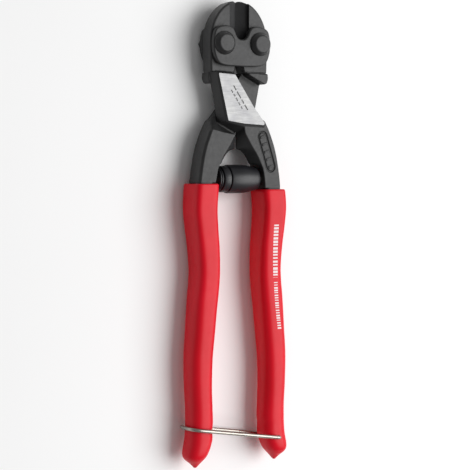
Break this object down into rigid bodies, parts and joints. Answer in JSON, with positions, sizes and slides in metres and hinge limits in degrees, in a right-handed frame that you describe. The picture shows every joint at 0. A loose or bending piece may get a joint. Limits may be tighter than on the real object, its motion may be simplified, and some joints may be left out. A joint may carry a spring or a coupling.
{
  "type": "bolt cutters",
  "caption": "Compact bolt cutters with rounded crossing jaws between link plates, forged levers, dipped grips, a return spring in its housing and a wire latch.",
  "frame": {"origin": "middle of the bounding box, on the surface the tool lies on", "axes": "+X across the tool to the right as seen from its front face, +Y along the tool towards the jaws, +Z out of the front face"},
  "size_m": [0.0512, 0.1995, 0.0167],
  "materials": {
    "forged_steel": "dark oxidised forging with a fine grain",
    "dark_fastener": "blackened steel, satin",
    "bright_steel": "plain bright wire",
    "red_vinyl": "glossy dipped coating",
    "black_plastic": "satin black moulding"
  },
  "bodies": {
    "link": {"front_link_plate": "forged_steel", "rear_link_plate": "forged_steel", "left_pivot_bolt": "dark_fastener", "right_pivot_bolt": "dark_fastener", "left_pivot_nut": "dark_fastener", "right_pivot_nut": "dark_fastener", "left_pivot_bush": "bright_steel", "right_pivot_bush": "bright_steel", "return_spring": "bright_steel"},
    "right_lever": {"right_lever": "forged_steel", "right_grip": "red_vinyl", "spring_barrel": "black_plastic", "right_spring_peg": "bright_steel", "latch_eyelet": "bright_steel"},
    "left_lever": {"left_lever": "forged_steel", "left_grip": "red_vinyl", "spring_cup": "black_plastic", "spring_collar": "black_plastic", "left_spring_peg": "bright_steel"},
    "latch": {"latch_wire": "bright_steel"}
  },
  "joints": [
    {"name": "right_lever_pivot", "type": "hinge", "parent": "link", "child": "right_lever", "pos_m": [-0.009, 0.0816, 0.0083], "axis": [0, 0, 1], "range_deg": [0, 13], "deforming": ["return_spring", "latch_wire"]},
    {"name": "left_lever_pivot", "type": "hinge", "parent": "link", "child": "left_lever", "pos_m": [0.009, 0.0816, 0.0083], "axis": [0, 0, 1], "range_deg": [-13, 0]},
    {"name": "latch_pivot", "type": "hinge", "parent": "right_lever", "child": "latch", "pos_m": [0.019, -0.0891, 0.0083], "axis": [0, 0, 1], "range_deg": [0, 100]}
  ],
  "couplings": [
    {"joint": "left_lever_pivot", "follows": "right_lever_pivot", "ratio": -1}
  ]
}
